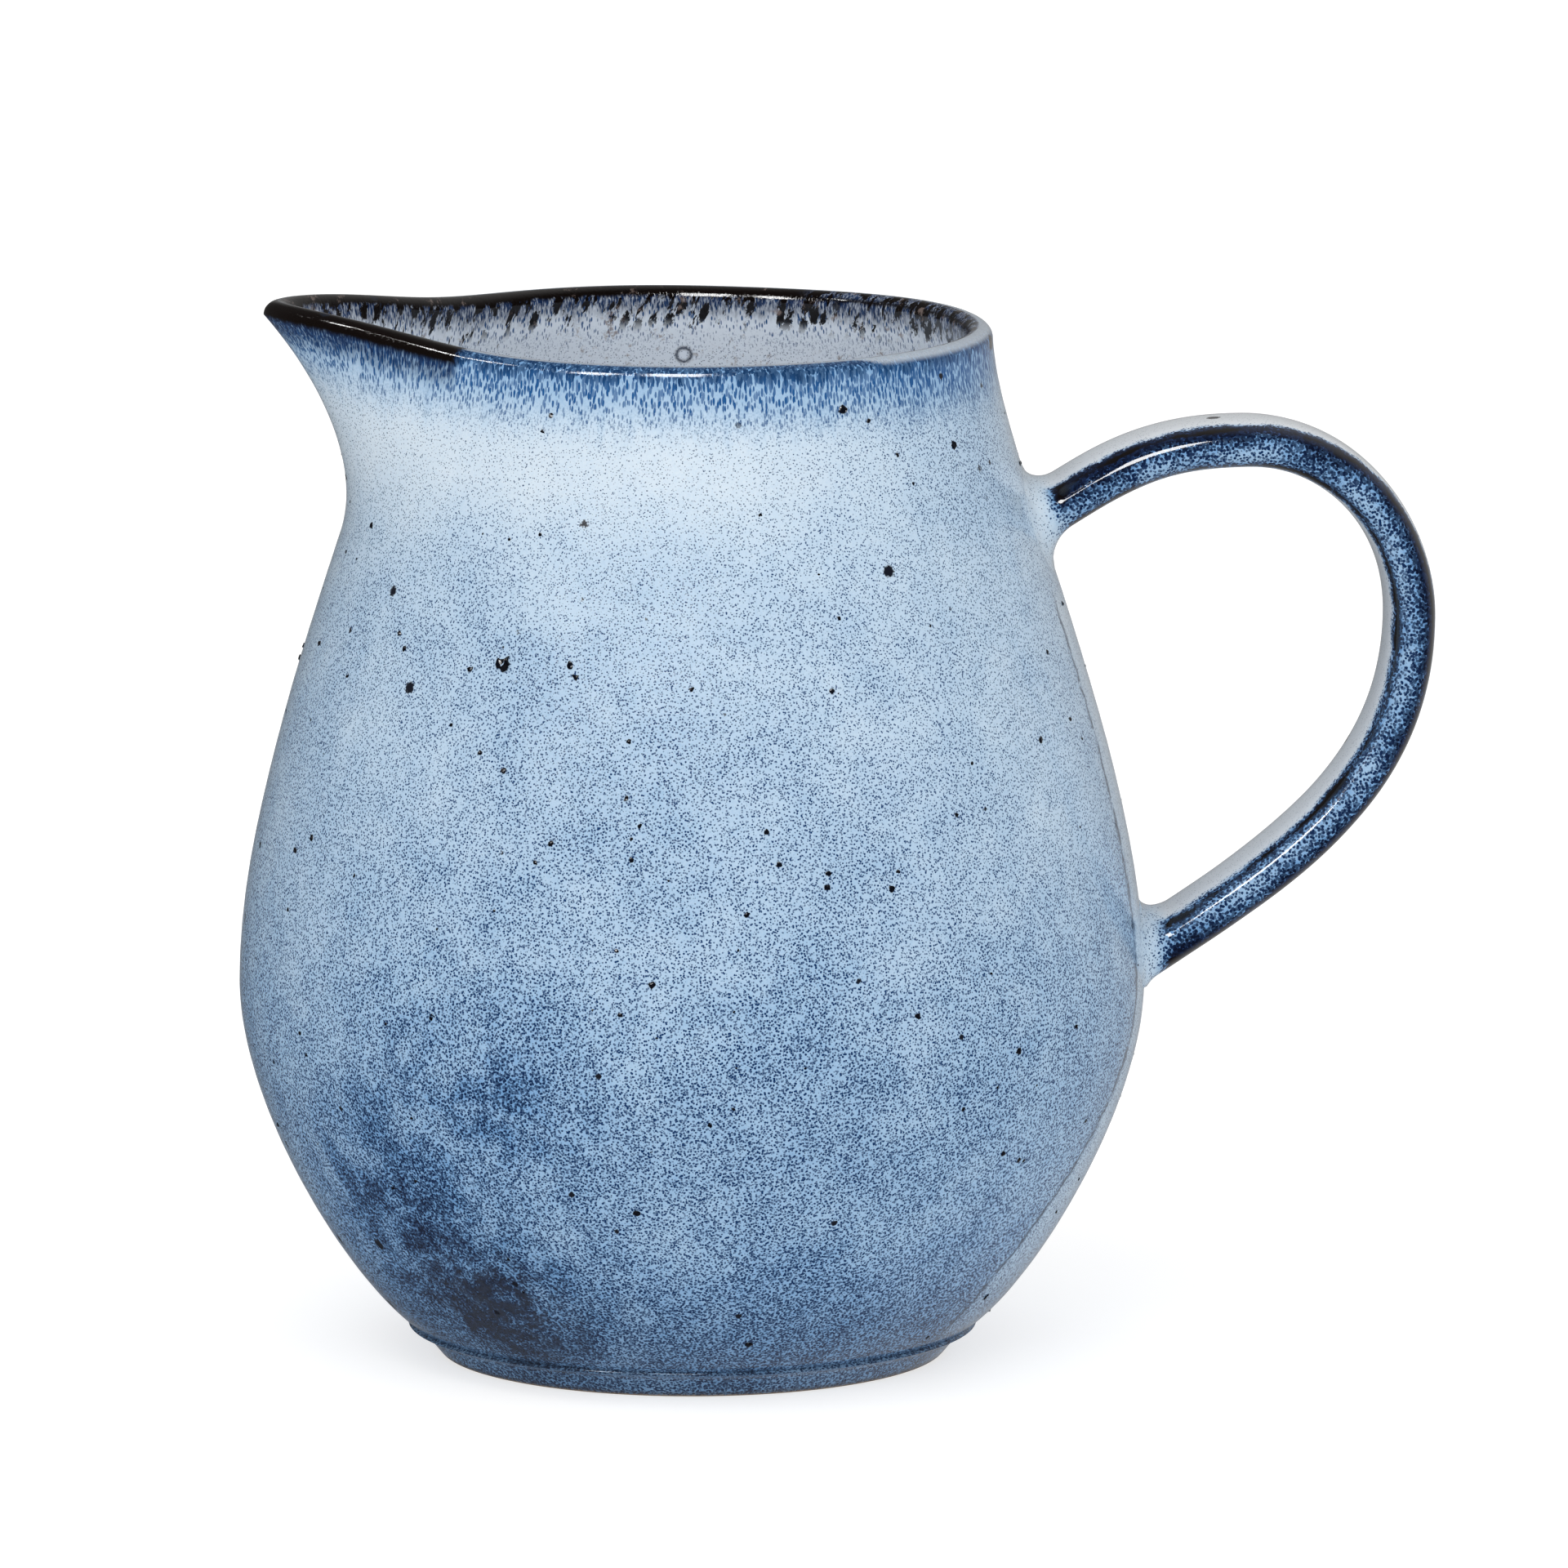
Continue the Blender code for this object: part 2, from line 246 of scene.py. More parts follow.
wallGlaze = {
    # how deep the glaze lies, 0 pale to 1 inky, by share of the rim's height; deeper towards the foot, partly as
    # painted shade
    "climbWithShade": [(0.0, 0.78), (0.07, 0.68), (0.18, 0.54), (0.31, 0.53), (0.44, 0.44), (0.55, 0.39), (0.74, 0.35),
              (0.82, 0.27), (0.89, 0.13), (0.94, 0.12), (1.0, 0.22)],
    # where it pools or thins: turn from the spout and its spread, height in mm and its spread, how much
    "pools": [(-0.93, 0.26, 57, 14, 0.13), (-0.64, 0.27, 32, 15, 0.27), (-1.04, 0.16, 48, 8, 0.14)],
    # right of the neck under the lip a darker patch, and lower on that side a paler one
    "neck": [(-2.55, 0.50, 146, 13, 0.22), (-2.45, 0.32, 98, 30, -0.06)],
    "burn": (-0.88, 0.29, 15, 11, 0.33),
    # how much the burn darkens, how much painted shade darkens the foot, how high that shade reaches in mm, and
    # the cap on both
    "burnShare": 1.1, "footShadeShare": 0.28, "footShadeHeight": 26, "burnAndShadeCap": 0.48,
}
lipGlaze = {
    # bands below the crest: where each fades and is gone in mm, and how far those two wander with the runs
    "strongRuns": (1.8, 4.8, 1.0, 1.0), "weakRuns": (4.5, 15.0, 1.0, 1.0), "drawnDots": (6.0, 15.0, 0.0, 0.0),
    "brownOutside": (3.0, 4.1, 0.10, 0.14), "navyOutside": (4.0, 8.0, 0.3, 0.5),
    "brownInside": (2.2, 3.0, 0.15, 0.25), "navyInside": (3.0, 7.4, 0.5, 0.7),
    "bareCrest": (1.4, 2.4, 0.0, 0.0), "hang": (1.0, 9.0, 0.0, 0.0),
    "drips": (8.0, 12.0, 0.0, 0.0), "blots": (6.0, 9.0, 0.0, 0.0),
    "wander": 6.0,
    # turns from the spout between which the brown ends, and the crest over the handle goes bare
    "brownTurn": (0.57, 0.61), "bareTurn": (2.05, 2.2),
    # where the painted reflection beside the strap lies: its turn, its width, and how it leans towards the foot
    "reflectionTurn": -2.85, "reflectionWidth": 0.011, "reflectionLean": 0.42,
    "burstPlace": (2.6, 43.6, 148.8), "burstRadius": 1.15,
}


def glazeCoords(g):  # millimetres from the vessel's axis and from the table
    place = g.node("ShaderNodeTexCoord", out="Object")
    return g.node("ShaderNodeMapping", {},
                  {"Vector": place, "Location": (-axisX / mm, 0, 0), "Scale": (1 / mm, 1 / mm, 1 / mm)})


def painted(g, name):  # a fact that the geometry tree left on the points
    return g.node("ShaderNodeAttribute", {"attribute_name": name}, out="Fac")


def speckled(q, depth, fineness):  # dots of ink, closing to a mesh with depth, and the curdling between them
    curd = q.noise(fineness * 1.15, 2.0, 0.6)
    near = q.cells(fineness) - (curd - 0.5) * (depth * speckle["curdling"])
    reach = depth * speckle["growth"] + speckle["reach"]
    dark = 1 - (near - reach).step(-speckle["softness"], speckle["softness"])
    return dark * (0.70 + 0.30 * q.cells(fineness, "Color").step(0.15, 0.7)), curd


def coatAndInk(depth, milk, curd):  # the coat goes by its milkiness, the ink by the depth
    coat = depth.node("ShaderNodeValToRGB", {"stops": glazeTone["coat"]},
                      {"Fac": milk + (curd - 0.5) * speckle["milkiness"]})
    return coat, depth.node("ShaderNodeValToRGB", {"stops": glazeTone["ink"]}, {"Fac": depth})


def drops(q, scale, size, share, wobble):  # scattered iron spots, share of the cells that hold one
    ragged = q.noise(2.6, 3.0, 0.7)
    near = q.cells(scale) + (ragged - 0.5) * wobble
    chance = q.cells(scale, "Color").step(1 - share, 1 - share + 0.02)
    return (1 - near.step(size * 0.8, size)) * chance


def finishGlaze(g, colour, rough, height, reach):
    dent = g.node("ShaderNodeBump", {}, {"Strength": glazeTone["bump"], "Distance": reach, "Height": height})
    shader = g.node("ShaderNodeBsdfPrincipled", {},
                    {"Base Color": colour, "Roughness": rough, "Normal": dent, "IOR": glazeTone["reflects"]})
    g.node("ShaderNodeOutputMaterial", {}, {"Surface": shader})


def newGlaze(name):
    material = bpy.data.materials.new(name)
    material.use_nodes = True
    material.node_tree.nodes.clear()
    return material, Wire(material.node_tree)


def wherePooled(turn, z, spots):  # the spots' depths added up
    total = 0.0
    for middle, width, height, tall, depth in spots:
        total = turn.hill(middle, width) * z.hill(height, tall) * depth + total
    return total


def wallPlace(g, q):  # the turn round the axis, 0 at the spout and below 0 on the near side, and the height
    x, y, z = q.parts()
    return g.maths("ARCTAN2", y, -x), z


def wallDepth(g, q, turn, z):  # how deep the glaze lies on the wall, and how much the burn and the painted shade towards the foot darken it
    cloud = q.noise(0.045, 3.0, 0.55)
    puff = q.noise(0.16, 3.0, 0.6)
    stops = [(place, (deep,) * 3) for place, deep in wallGlaze["climbWithShade"]]
    # deeper towards the foot, partly painted shade
    climbWithShade = g.node("ShaderNodeValToRGB", {"stops": stops}, {"Fac": z / 160})
    quiet = 1 - z.step(120, 165) * 0.75  # the pale collar under the lip is quieter
    ashen = q.noise(0.40, 4.0, 0.65).step(0.36, 0.64)
    burn = wherePooled(turn, z, [wallGlaze["burn"]]) * (0.45 + ashen * 0.75)
    depth = (climbWithShade + ((cloud - 0.5) * 0.30 + (puff - 0.5) * 0.20) * quiet
             + wherePooled(turn, z, wallGlaze["neck"]))
    depth = depth + (wherePooled(turn, z, wallGlaze["pools"]) + burn) * (0.55 + puff.step(0.36, 0.62) * 0.65)
    # painted shade: darker towards the foot
    footShade = 1 - z.step(0, wallGlaze["footShadeHeight"])
    burnAndFootShade = burn * wallGlaze["burnShare"] + footShade * wallGlaze["footShadeShare"]
    return depth, burnAndFootShade.least(wallGlaze["burnAndShadeCap"])


def vesselGlaze():
    material, g = newGlaze("speckled_blue_glaze")
    q = glazeCoords(g)
    down, inner = painted(g, "lipDown"), painted(g, "inner")
    x, y, _ = q.parts()
    turn, z = wallPlace(g, q)
    depth, burnAndFootShade = wallDepth(g, q, turn, z)

    # painted reflection beside the strap: a paler band along the right-hand silhouette, with a crinkled dark
    # line painted in it
    edge = lipGlaze["reflectionTurn"]
    crinkled = turn + (q.noise(0.35, 3.0, 0.65) - 0.5) * 0.06 - (1 - z.step(0, 62)) * lipGlaze["reflectionLean"]
    tall = z.step(4, 9) * (1 - z.step(116, 122))
    depth = depth - (1 - crinkled.step(edge - 0.03, edge + 0.01)) * turn.step(-3.13, -3.0) * tall * 0.16
    creaseAndReflection = crinkled.hill(edge, lipGlaze["reflectionWidth"]) * tall * q.noise(0.4).step(0.32, 0.46)
    insideDepth = 0.13 + (q.noise(0.2, 3.0, 0.6) - 0.5) * 0.3
    depth = depth * (1 - inner) + insideDepth * inner

    wander = (g.join(x, y, down * 0.15).noise(0.55, 3.0, 0.6) - 0.5) * lipGlaze["wander"]

    def band(name):  # 1 at the crest, 0 below the band
        fades, gone, raggedFade, raggedEnd = lipGlaze[name]
        if not raggedEnd:
            return 1 - down.step(fades, gone)
        return 1 - down.step(wander * raggedFade + fades, wander * raggedEnd + gone)

    # the lip: blue runs that start dark and thin out downwards
    strong, weak = band("strongRuns"), band("weakRuns")
    milk = depth + (strong * 0.20 + weak * 0.32) * (1 - inner * 0.5)
    depth = depth + (strong * 0.36 + weak * 0.44) * (1 - inner * 0.5)
    dark, curd = speckled(q, depth, speckle["fineness"])
    pins = speckle["pinsPerMm"]
    pinned = (1 - q.cells(pins).step(*speckle["pinReach"])) * (0.55 + q.cells(pins, "Color") * 0.45)
    dark = dark.most(pinned * (1 - inner * 0.4))
    drawn, wild = speckled(g.join(x, y, down * 0.27), depth, speckle["drawnFineness"])
    fringe = band("drawnDots")
    dark = dark * (1 - fringe) + drawn * fringe
    coat, ink = coatAndInk(depth, milk, curd)
    ink = (fringe * (0.85 - strong * 0.5)).blend(ink, glazeTone["running"])
    # inside: its pale coat, lifted as painted light for the shade in the pot
    coat = (inner * 0.85).blend(coat, glazeTone["insideCoatWithPaintedLight"])
    tone = dark.blend(coat, ink)
    # over the handle the crest stays pale
    bareRim = (abs(turn) + (wild - 0.5) * 0.1).step(*lipGlaze["bareTurn"])
    crest = (1 - down.step(0.25 + bareRim * 1.2, 0.8 + bareRim * 1.8)) * (0.45 + wild * 0.5)
    tone = crest.blend(tone, glazeTone["crest"])
    # painted reflection: the crinkled dark line beside the strap
    tone = (creaseAndReflection * 0.85).blend(tone, glazeTone["creaseAndReflection"])
    # burn patch and painted shade towards the foot
    tone = burnAndFootShade.blend(tone, glazeTone["burntAndShade"])

    # iron-brown lip: outside it runs round the spout and ends sharply, inside it goes all the way
    outer = 1 - inner
    onSpout = 1 - (abs(turn + 0.05) + (wild - 0.5) * 0.06).step(*lipGlaze["brownTurn"])
    dripping = g.join(x + down * 0.35, y, down * 0.30).noise(0.62, 3.5, 0.7)
    drips = (dripping + band("hang") * 0.15).step(0.64, 0.67) * band("drips")
    blots = drops(g.join(x + down * 0.3, y, down * 0.42), 0.46, 0.38, 0.70, 0.75) * band("blots")
    brownIn = (band("brownInside") * (1 - bareRim * band("bareCrest"))).most(drips).most(blots) * inner
    scorch = (turn.hill(-2.93, 0.07) * down.hill(3.2, 1.6) + (wild - 0.5) * 0.3).step(0.5, 0.7) * outer
    navy = (band("navyOutside") * onSpout * outer).most(band("navyInside") * inner)
    navy = (navy * (0.85 + (wild - 0.5) * 2.2)).most(0.0).least(1.0)
    tone = navy.blend(tone, glazeTone["navy"])
    brown = (band("brownOutside") * onSpout * outer).most(brownIn).most(scorch)
    tone = brown.blend(tone, glazeTone["ironBrown"])

    # inside: brown lees, and the ring that a burst bubble left on the far wall
    stain = q.noise(0.30, 4.0, 0.7).step(0.56, 0.68) * q.noise(1.1, 2.0, 0.6).step(0.42, 0.60) * inner
    tone = (stain * 0.75).blend(tone, glazeTone["lees"])
    burst = g.vectors("DISTANCE", q, lipGlaze["burstPlace"], out="Value") + (curd - 0.5) * 0.5
    tone = (burst.hill(lipGlaze["burstRadius"], 0.30) * 0.9).blend(tone, glazeTone["burst"])
    iron = drops(q, 0.11, 0.13, 0.26, 0.14).most(drops(q, 0.3, 0.17, 0.14, 0.22))
    tone = iron.blend(tone, glazeTone["iron"])

    rough = glazeTone["gloss"] + curd * 0.06 * (1 - brown) + iron * 0.2
    height = curd * 0.4 - dark * 0.5 + q.noise(0.45, 2.0, 0.5) * 1.4 - iron * 0.6
    finishGlaze(g, tone, rough, height, 0.05 * mm)
    return material


def strapGlaze():
    material, g = newGlaze("deep_blue_strap_glaze")
    q = glazeCoords(g)
    faceward = painted(g, "faceward")  # 0 narrow edge, 1 wide face
    loopward = painted(g, "loopward")  # 0 outside, 1 towards the finger loop
    fromWall = painted(g, "fromWall")
    wall = wallDepth(g, q, *wallPlace(g, q))[0]
    wobble = (q.noise(0.3, 3.0, 0.6) - 0.5) * 0.24
    band = faceward + wobble
    # the wide faces painted pale: glaze colour and painted reflection of faces seen at a slant
    pale = band.step(0.56, 0.76)
    streak = q.noise(0.10, 3.0, 0.6).step(0.36, 0.64)  # longer light and dark lengths of the edge
    corner = 1 - (loopward + wobble).step(0.18, 0.62)  # the outer corner lies darker
    edge = 0.59 + streak * 0.20 + corner * 0.30 + band.hill(0.46, 0.13) * 0.35
    wallish = 1 - (fromWall + wobble * 9.0).step(1.2, 5.0)
    rootPool = (1 - (fromWall + wobble * 6.0).step(4.0, 10.0)) * corner * (1 - pale)
    strapDepth = (edge + rootPool * 0.3) * (1 - pale) + 0.03 * pale
    depth = wall * 0.6 * wallish + strapDepth * (1 - wallish)
    milk = depth - (1 - pale) * (1 - wallish) * 0.08
    dark, curd = speckled(q, depth, speckle["strapFineness"])
    coat, ink = coatAndInk(depth, milk, curd)
    # pale glaze and painted reflection on the wide faces
    coat = (pale * (1 - wallish) * 0.6).blend(coat, glazeTone["strapCoatAndSheen"])
    tone = dark.blend(coat, ink)
    brown = (band.hill(0.47, 0.10) * (0.55 + streak * 0.5)).most(rootPool * 0.9) * (1 - wallish)
    tone = brown.step(0.42, 0.85).blend(tone, glazeTone["ironBrown"])
    iron = drops(q, 0.17, 0.20, 0.34, 0.18)
    tone = iron.blend(tone, glazeTone["strapIron"])
    rough = glazeTone["strapGloss"] + curd * 0.03
    height = curd * 0.3 - dark * 0.2 + q.noise(0.3, 2.0, 0.5) * 0.8 - iron * 0.4
    finishGlaze(g, tone, rough, height, 0.04 * mm)
    return material


def footGlaze():
    material, g = newGlaze("foot_band_glaze")
    q = glazeCoords(g)
    turn, z = wallPlace(g, q)
    depth, burnAndFootShade = wallDepth(g, q, turn, z)
    depth = depth - 0.04
    dark, curd = speckled(q, depth, speckle["fineness"])
    bare = 1 - (z + (curd - 0.5) * 0.6).step(0.15, 0.45)  # wiped clean where it stands
    # burn patch and painted shade towards the foot
    tone = burnAndFootShade.blend(dark.blend(*coatAndInk(depth, depth, curd)), glazeTone["burntAndShade"])
    tone = (z.hill(0.55, 0.35) * 0.6).blend(tone, glazeTone["footLine"])
    tone = bare.blend(tone, glazeTone["clay"])
    rough = glazeTone["footGloss"] + bare * 0.6 + curd * 0.05
    height = curd * 0.4 + bare * q.noise(3.0, 3.0, 0.7) * 1.5
    finishGlaze(g, tone, rough, height, 0.06 * mm)
    return material


def ironGlaze():
    material, g = newGlaze("iron_bleb")
    skin = glazeCoords(g).noise(2.5, 2.0, 0.6)
    tone = skin.step(0.45, 0.85).blend(glazeTone["blebDark"], glazeTone["blebRusty"])
    finishGlaze(g, tone, glazeTone["blebGloss"] + skin * 0.1, skin, 0.05 * mm)
    return material


speckledBlue, strapBlue, footBlue, ironBlack = vesselGlaze(), strapGlaze(), footGlaze(), ironGlaze()
print("glazes mixed")


vessel = {
    "rimHeight": 0.160, "rimRadius": 0.0465, "bellyRadius": 0.070, "bellyHeight": 0.058,
    "wall": 0.0050, "rimWall": 0.0042, "floor": 0.0060, "innerFloor": 0.0345,
    "footSpread": 0.32, "fullBelow": 0.39, "fullAbove": 0.35, "fullRim": 0.19,
    "footAngle": 20.0, "rimAngle": 3.0,
    "footTop": footBox[1].z, "footRadius": footBox[1].y, "base": bodyBox[0].z,
    "outsideRows": (62, 82), "insideRows": (50, 60), "lipRows": 18, "floorRows": 8,
}
spout = {
    "reach": 0.0195, "rise": 0.00446, "depth": 0.030, "halfAngle": math.radians(20), "spread": 0.8,
    "riseHalfAngle": math.radians(27), "point": 1.5, "flare": 1.8, "crowding": 0.40,
}
throwing = {
    "columns": 184, "unevenness": 0.00035, "ringHeight": 0.000008, "ringPitch": 0.0047, "farDip": 0.00055,
}


def wallLine(v, foot, footAngle, inset, rimInset, rows):  # from the foot over the belly to just under the lip
    belly = Vector((v["bellyRadius"] - inset, v["bellyHeight"]))
    rim = Vector((v["rimRadius"] - rimInset, v["rimHeight"] - v["rimWall"] / 2))
    below, above = belly.y - foot.y, rim.y - belly.y
    a, b = math.radians(footAngle), math.radians(v["rimAngle"])
    spread = Vector((math.cos(a), math.sin(a))) * v["footSpread"] * (belly.x - foot.x)
    lean = Vector((-math.sin(b), math.cos(b))) * v["fullRim"] * above
    return (bow(foot, foot + spread, belly - Vector((0, v["fullBelow"] * below)), belly, rows[0])
            + bow(belly, belly + Vector((0, v["fullAbove"] * above)), rim - lean, rim, rows[1]) + [rim])


def outsideWall(v):
    return wallLine(v, Vector((v["footRadius"], v["base"])), v["footAngle"], 0.0, 0.0, v["outsideRows"])


def insideWall(v):
    foot = Vector((v["innerFloor"], v["base"] + v["floor"]))
    return wallLine(v, foot, 0.0, v["wall"], v["rimWall"], v["insideRows"])


def vesselProfile(v):  # from under the floor, up the outside, over the lip and down the inside
    lipRadius = v["rimWall"] / 2
    middle = Vector((v["rimRadius"] - lipRadius, v["rimHeight"] - lipRadius))
    angles = [math.pi * i / v["lipRows"] for i in range(1, v["lipRows"])]
    lip = [middle + lipRadius * Vector((math.cos(a), math.sin(a))) for a in angles]
    shares = [i / v["floorRows"] for i in range(v["floorRows"])]
    under = [Vector((v["footRadius"] * share, v["base"])) for share in shares]
    top = [Vector((v["innerFloor"] * share, v["base"] + v["floor"])) for share in shares]
    outside = outsideWall(v)
    points = under + outside + lip + insideWall(v)[::-1] + top[::-1]
    crest = len(under) + len(outside) + len(lip) // 2
    downs = [0.0] * len(points)
    for i in range(crest - 1, -1, -1):
        downs[i] = downs[i + 1] + (points[i] - points[i + 1]).length / mm
    for i in range(crest + 1, len(points)):
        downs[i] = downs[i - 1] + (points[i] - points[i - 1]).length / mm
    inner = [1.0 if i > crest else 0.0 for i in range(len(points))]
    return polyline("vessel_profile", [(p.x, 0, p.y) for p in points], lipDown=downs, inner=inner)


def wrapRows(start, columns):  # a sheet with one row for each point of the seed line
    line = start.other("Geometry")
    count = start.node("GeometryNodeAttributeDomainSize", {"component": "MESH"}, {0: line}, "Point Count")
    sheet = start.node("GeometryNodeMeshGrid", {},
                       {"Size X": 1.0, "Size Y": 1.0, "Vertices X": columns + 1, "Vertices Y": count})
    x, y, _ = start.node("GeometryNodeInputPosition").parts()
    row = start.maths("ROUND", (y + 0.5) * (count - 1))

    def fromLine(field, kind="FLOAT_VECTOR", source=line):
        return start.node("GeometryNodeSampleIndex", {"data_type": kind, "domain": "POINT"},
                          {"Geometry": source, "Value": field, "Index": row})

    return sheet, x * math.tau, row / (count - 1), fromLine


def fact(start, name):
    return start.node("GeometryNodeInputNamedAttribute", {"data_type": "FLOAT"}, {"Name": name}, "Attribute")


def keep(start, geometry, **facts):
    for name, value in facts.items():
        geometry = start.node("GeometryNodeStoreNamedAttribute", {"data_type": "FLOAT", "domain": "POINT"},
                              {"Geometry": geometry, "Name": name, "Value": value})
    return geometry


def nearest(start, shell, field, place):  # the field where the shell comes nearest to the place
    return start.node("GeometryNodeSampleNearestSurface", {"data_type": "FLOAT_VECTOR"},
                      {"Mesh": shell, "Value": field, "Sample Position": place})


def closeUp(start, sheet, place):  # the sheet moved into place, its ends and seam joined
    sheet = start.node("GeometryNodeFlipFaces", {}, {0: sheet})
    sheet = start.node("GeometryNodeSetPosition", {}, {"Geometry": sheet, "Position": place})
    return start.node("GeometryNodeMergeByDistance", {}, {"Geometry": sheet, "Distance": 0.004 * mm})


turnSizes = {
    "Columns": throwing["columns"], "Axis": axisX, "Lip base": vessel["rimHeight"] - vessel["rimWall"] / 2,
    "Spout reach": spout["reach"], "Spout rise": spout["rise"], "Spout depth": spout["depth"],
    "Spout half angle": spout["halfAngle"], "Spout spread": spout["spread"],
    "Rise half angle": spout["riseHalfAngle"], "Spout point": spout["point"], "Spout flare": spout["flare"],
    "Crowding": spout["crowding"], "Unevenness": throwing["unevenness"],
    "Ring height": throwing["ringHeight"], "Ring pitch": throwing["ringPitch"],
    "Far dip": throwing["farDip"], "Glaze": speckledBlue,
}


def turningTree(sizes):  # turns a profile about the axis, then pulls the spout as fingers do
    start, keys = startTree("thrown_and_pulled", sizes)
    size = start.other
    sheet, turn, _, fromLine = wrapRows(start, size("Columns"))
    radius, _, height = fromLine(start.node("GeometryNodeInputPosition")).parts()
    turn = turn - size("Crowding") * turn.maths("SINE", turn)  # more columns where the spout is
    drawn = ((height.least(size("Lip base")) - size("Lip base")) / size("Spout depth") + 1).most(0.0)
    halfAngle = size("Spout half angle") * (1 + size("Spout spread") * (1 - drawn))
    pulled = math.e ** -((abs(turn) / halfAngle) ** size("Spout point"))
    bulge = size("Spout reach") * drawn ** size("Spout flare") * pulled
    rise = size("Spout rise") * drawn ** 2.0 * math.e ** -((abs(turn) / size("Rise half angle")) ** 2.0)
    swing, cross = turn.maths("COSINE", turn), turn.maths("SINE", turn)
    spot = start.join(radius * swing, radius * cross, height)
    lump = spot.noise(28.0, 1.0) * size("Unevenness")
    wave = height * (math.tau / size("Ring pitch")) + spot.noise(20.0, 1.0) * 9.0
    ring = (turn.maths("SINE", wave) + 1) * size("Ring height")
    thinner = (lump + ring) * radius.step(0.0, 0.02)
    dip = size("Far dip") * turn.maths("COSINE", turn - 1.95).most(0.0) ** 6.0 * drawn ** 2.0
    radius = radius + bulge - thinner
    place = start.join(size("Axis") - radius * swing, radius * cross, height + rise - dip)
    sheet = keep(start, sheet, lipDown=fromLine(fact(start, "lipDown"), "FLOAT"),
                 inner=fromLine(fact(start, "inner"), "FLOAT"))
    endTree(start, closeUp(start, sheet, place))
    return start.tree, keys


turning, turningKeys = turningTree(turnSizes)
pitcher = grown("thrown_vessel", vesselProfile(vessel), turning, turningKeys, turnSizes)
print("vessel thrown", len(pitcher.data.polygons))


foot = {
    "bottomRadius": 0.0390, "width": 0.0055, "edge": 0.0006,
    "slipOut": 0.0021, "slipUp": 0.00072, "slipFrom": 0.0031,
    # the tuck and the top lie inside the vessel's wall
    "tuckIn": (-0.0012, 0.0006), "topInset": 0.002, "topCover": 0.05 * mm,
    "edgeRows": 6, "slipRows": 10, "unevenness": 0.00008, "columns": 160,
}


def footProfile(f, v):
    inner, top, edge = f["bottomRadius"] - f["width"], v["base"] + f["topCover"], f["edge"]
    low, high = Vector((f["bottomRadius"], 0)), Vector((v["footRadius"], v["footTop"]))
    side = (high - low).normalized()
    creaseAndReflection = high + Vector((f["slipOut"], f["slipUp"]))
    rounding = low - Vector((edge, 0))
    points = [Vector((inner, top)), Vector((inner, top * 0.6)), Vector((inner, edge)),
              Vector((inner + edge * 0.3, edge * 0.3)), Vector((inner + edge, 0)),
              rounding - Vector((edge, 0)), rounding]
    points += bow(rounding, low, low, low + side * edge, f["edgeRows"])[1:]
    points += [low + side * edge * (1 + i) for i in range(4)]
    points += bow(low + side * f["slipFrom"], high, high, creaseAndReflection, f["slipRows"])
    points += [creaseAndReflection, creaseAndReflection + Vector(f["tuckIn"]), Vector((v["footRadius"] - f["topInset"], top)),
               points[0]]
    # told to be far below the lip, so that no lip colour reaches it
    return polyline("foot_profile", [(p.x, 0, p.y) for p in points],
                    lipDown=[vessel["rimHeight"] / mm] * len(points), inner=[0.0] * len(points))


footSizes = dict(turnSizes, **{"Glaze": footBlue, "Unevenness": foot["unevenness"], "Ring height": 0.0,
                               "Columns": foot["columns"]})
footRing = grown("turned_foot", footProfile(foot, vessel), turning, turningKeys, footSizes)
print("foot turned", len(footRing.data.polygons))


strap = {
    "width": 0.0200, "thickness": 0.0076, "squareness": 2.7, "belowRim": 0.0302, "span": 0.0687,
    "reach": 0.0412, "arch": 0.0110, "shoulder": 0.0163, "upperAngle": math.radians(31),
    "lowerAngle": math.radians(33), "rootLength": 0.0075, "tension": 0.39, "embed": 0.0012,
    "archRows": 44, "rootRows": 26,
}
strapSizes = {
    "Sides": 56, "Width": strap["width"], "Thickness": strap["thickness"], "Squareness": strap["squareness"],
    "Upper back fillet": 0.0050, "Upper loop fillet": 0.0046, "Lower back fillet": 0.0018,
    "Lower loop fillet": 0.0060, "Unevenness": 0.00022, "Vessel": pitcher, "Glaze": strapBlue,
}


def wallRadius(height):
    outline = outsideWall(vessel)
    for low, high in zip(outline, outline[1:]):
        if low.y <= height <= high.y:
            return low.x + (high.x - low.x) * (height - low.y) / (high.y - low.y)
    return outline[0].x


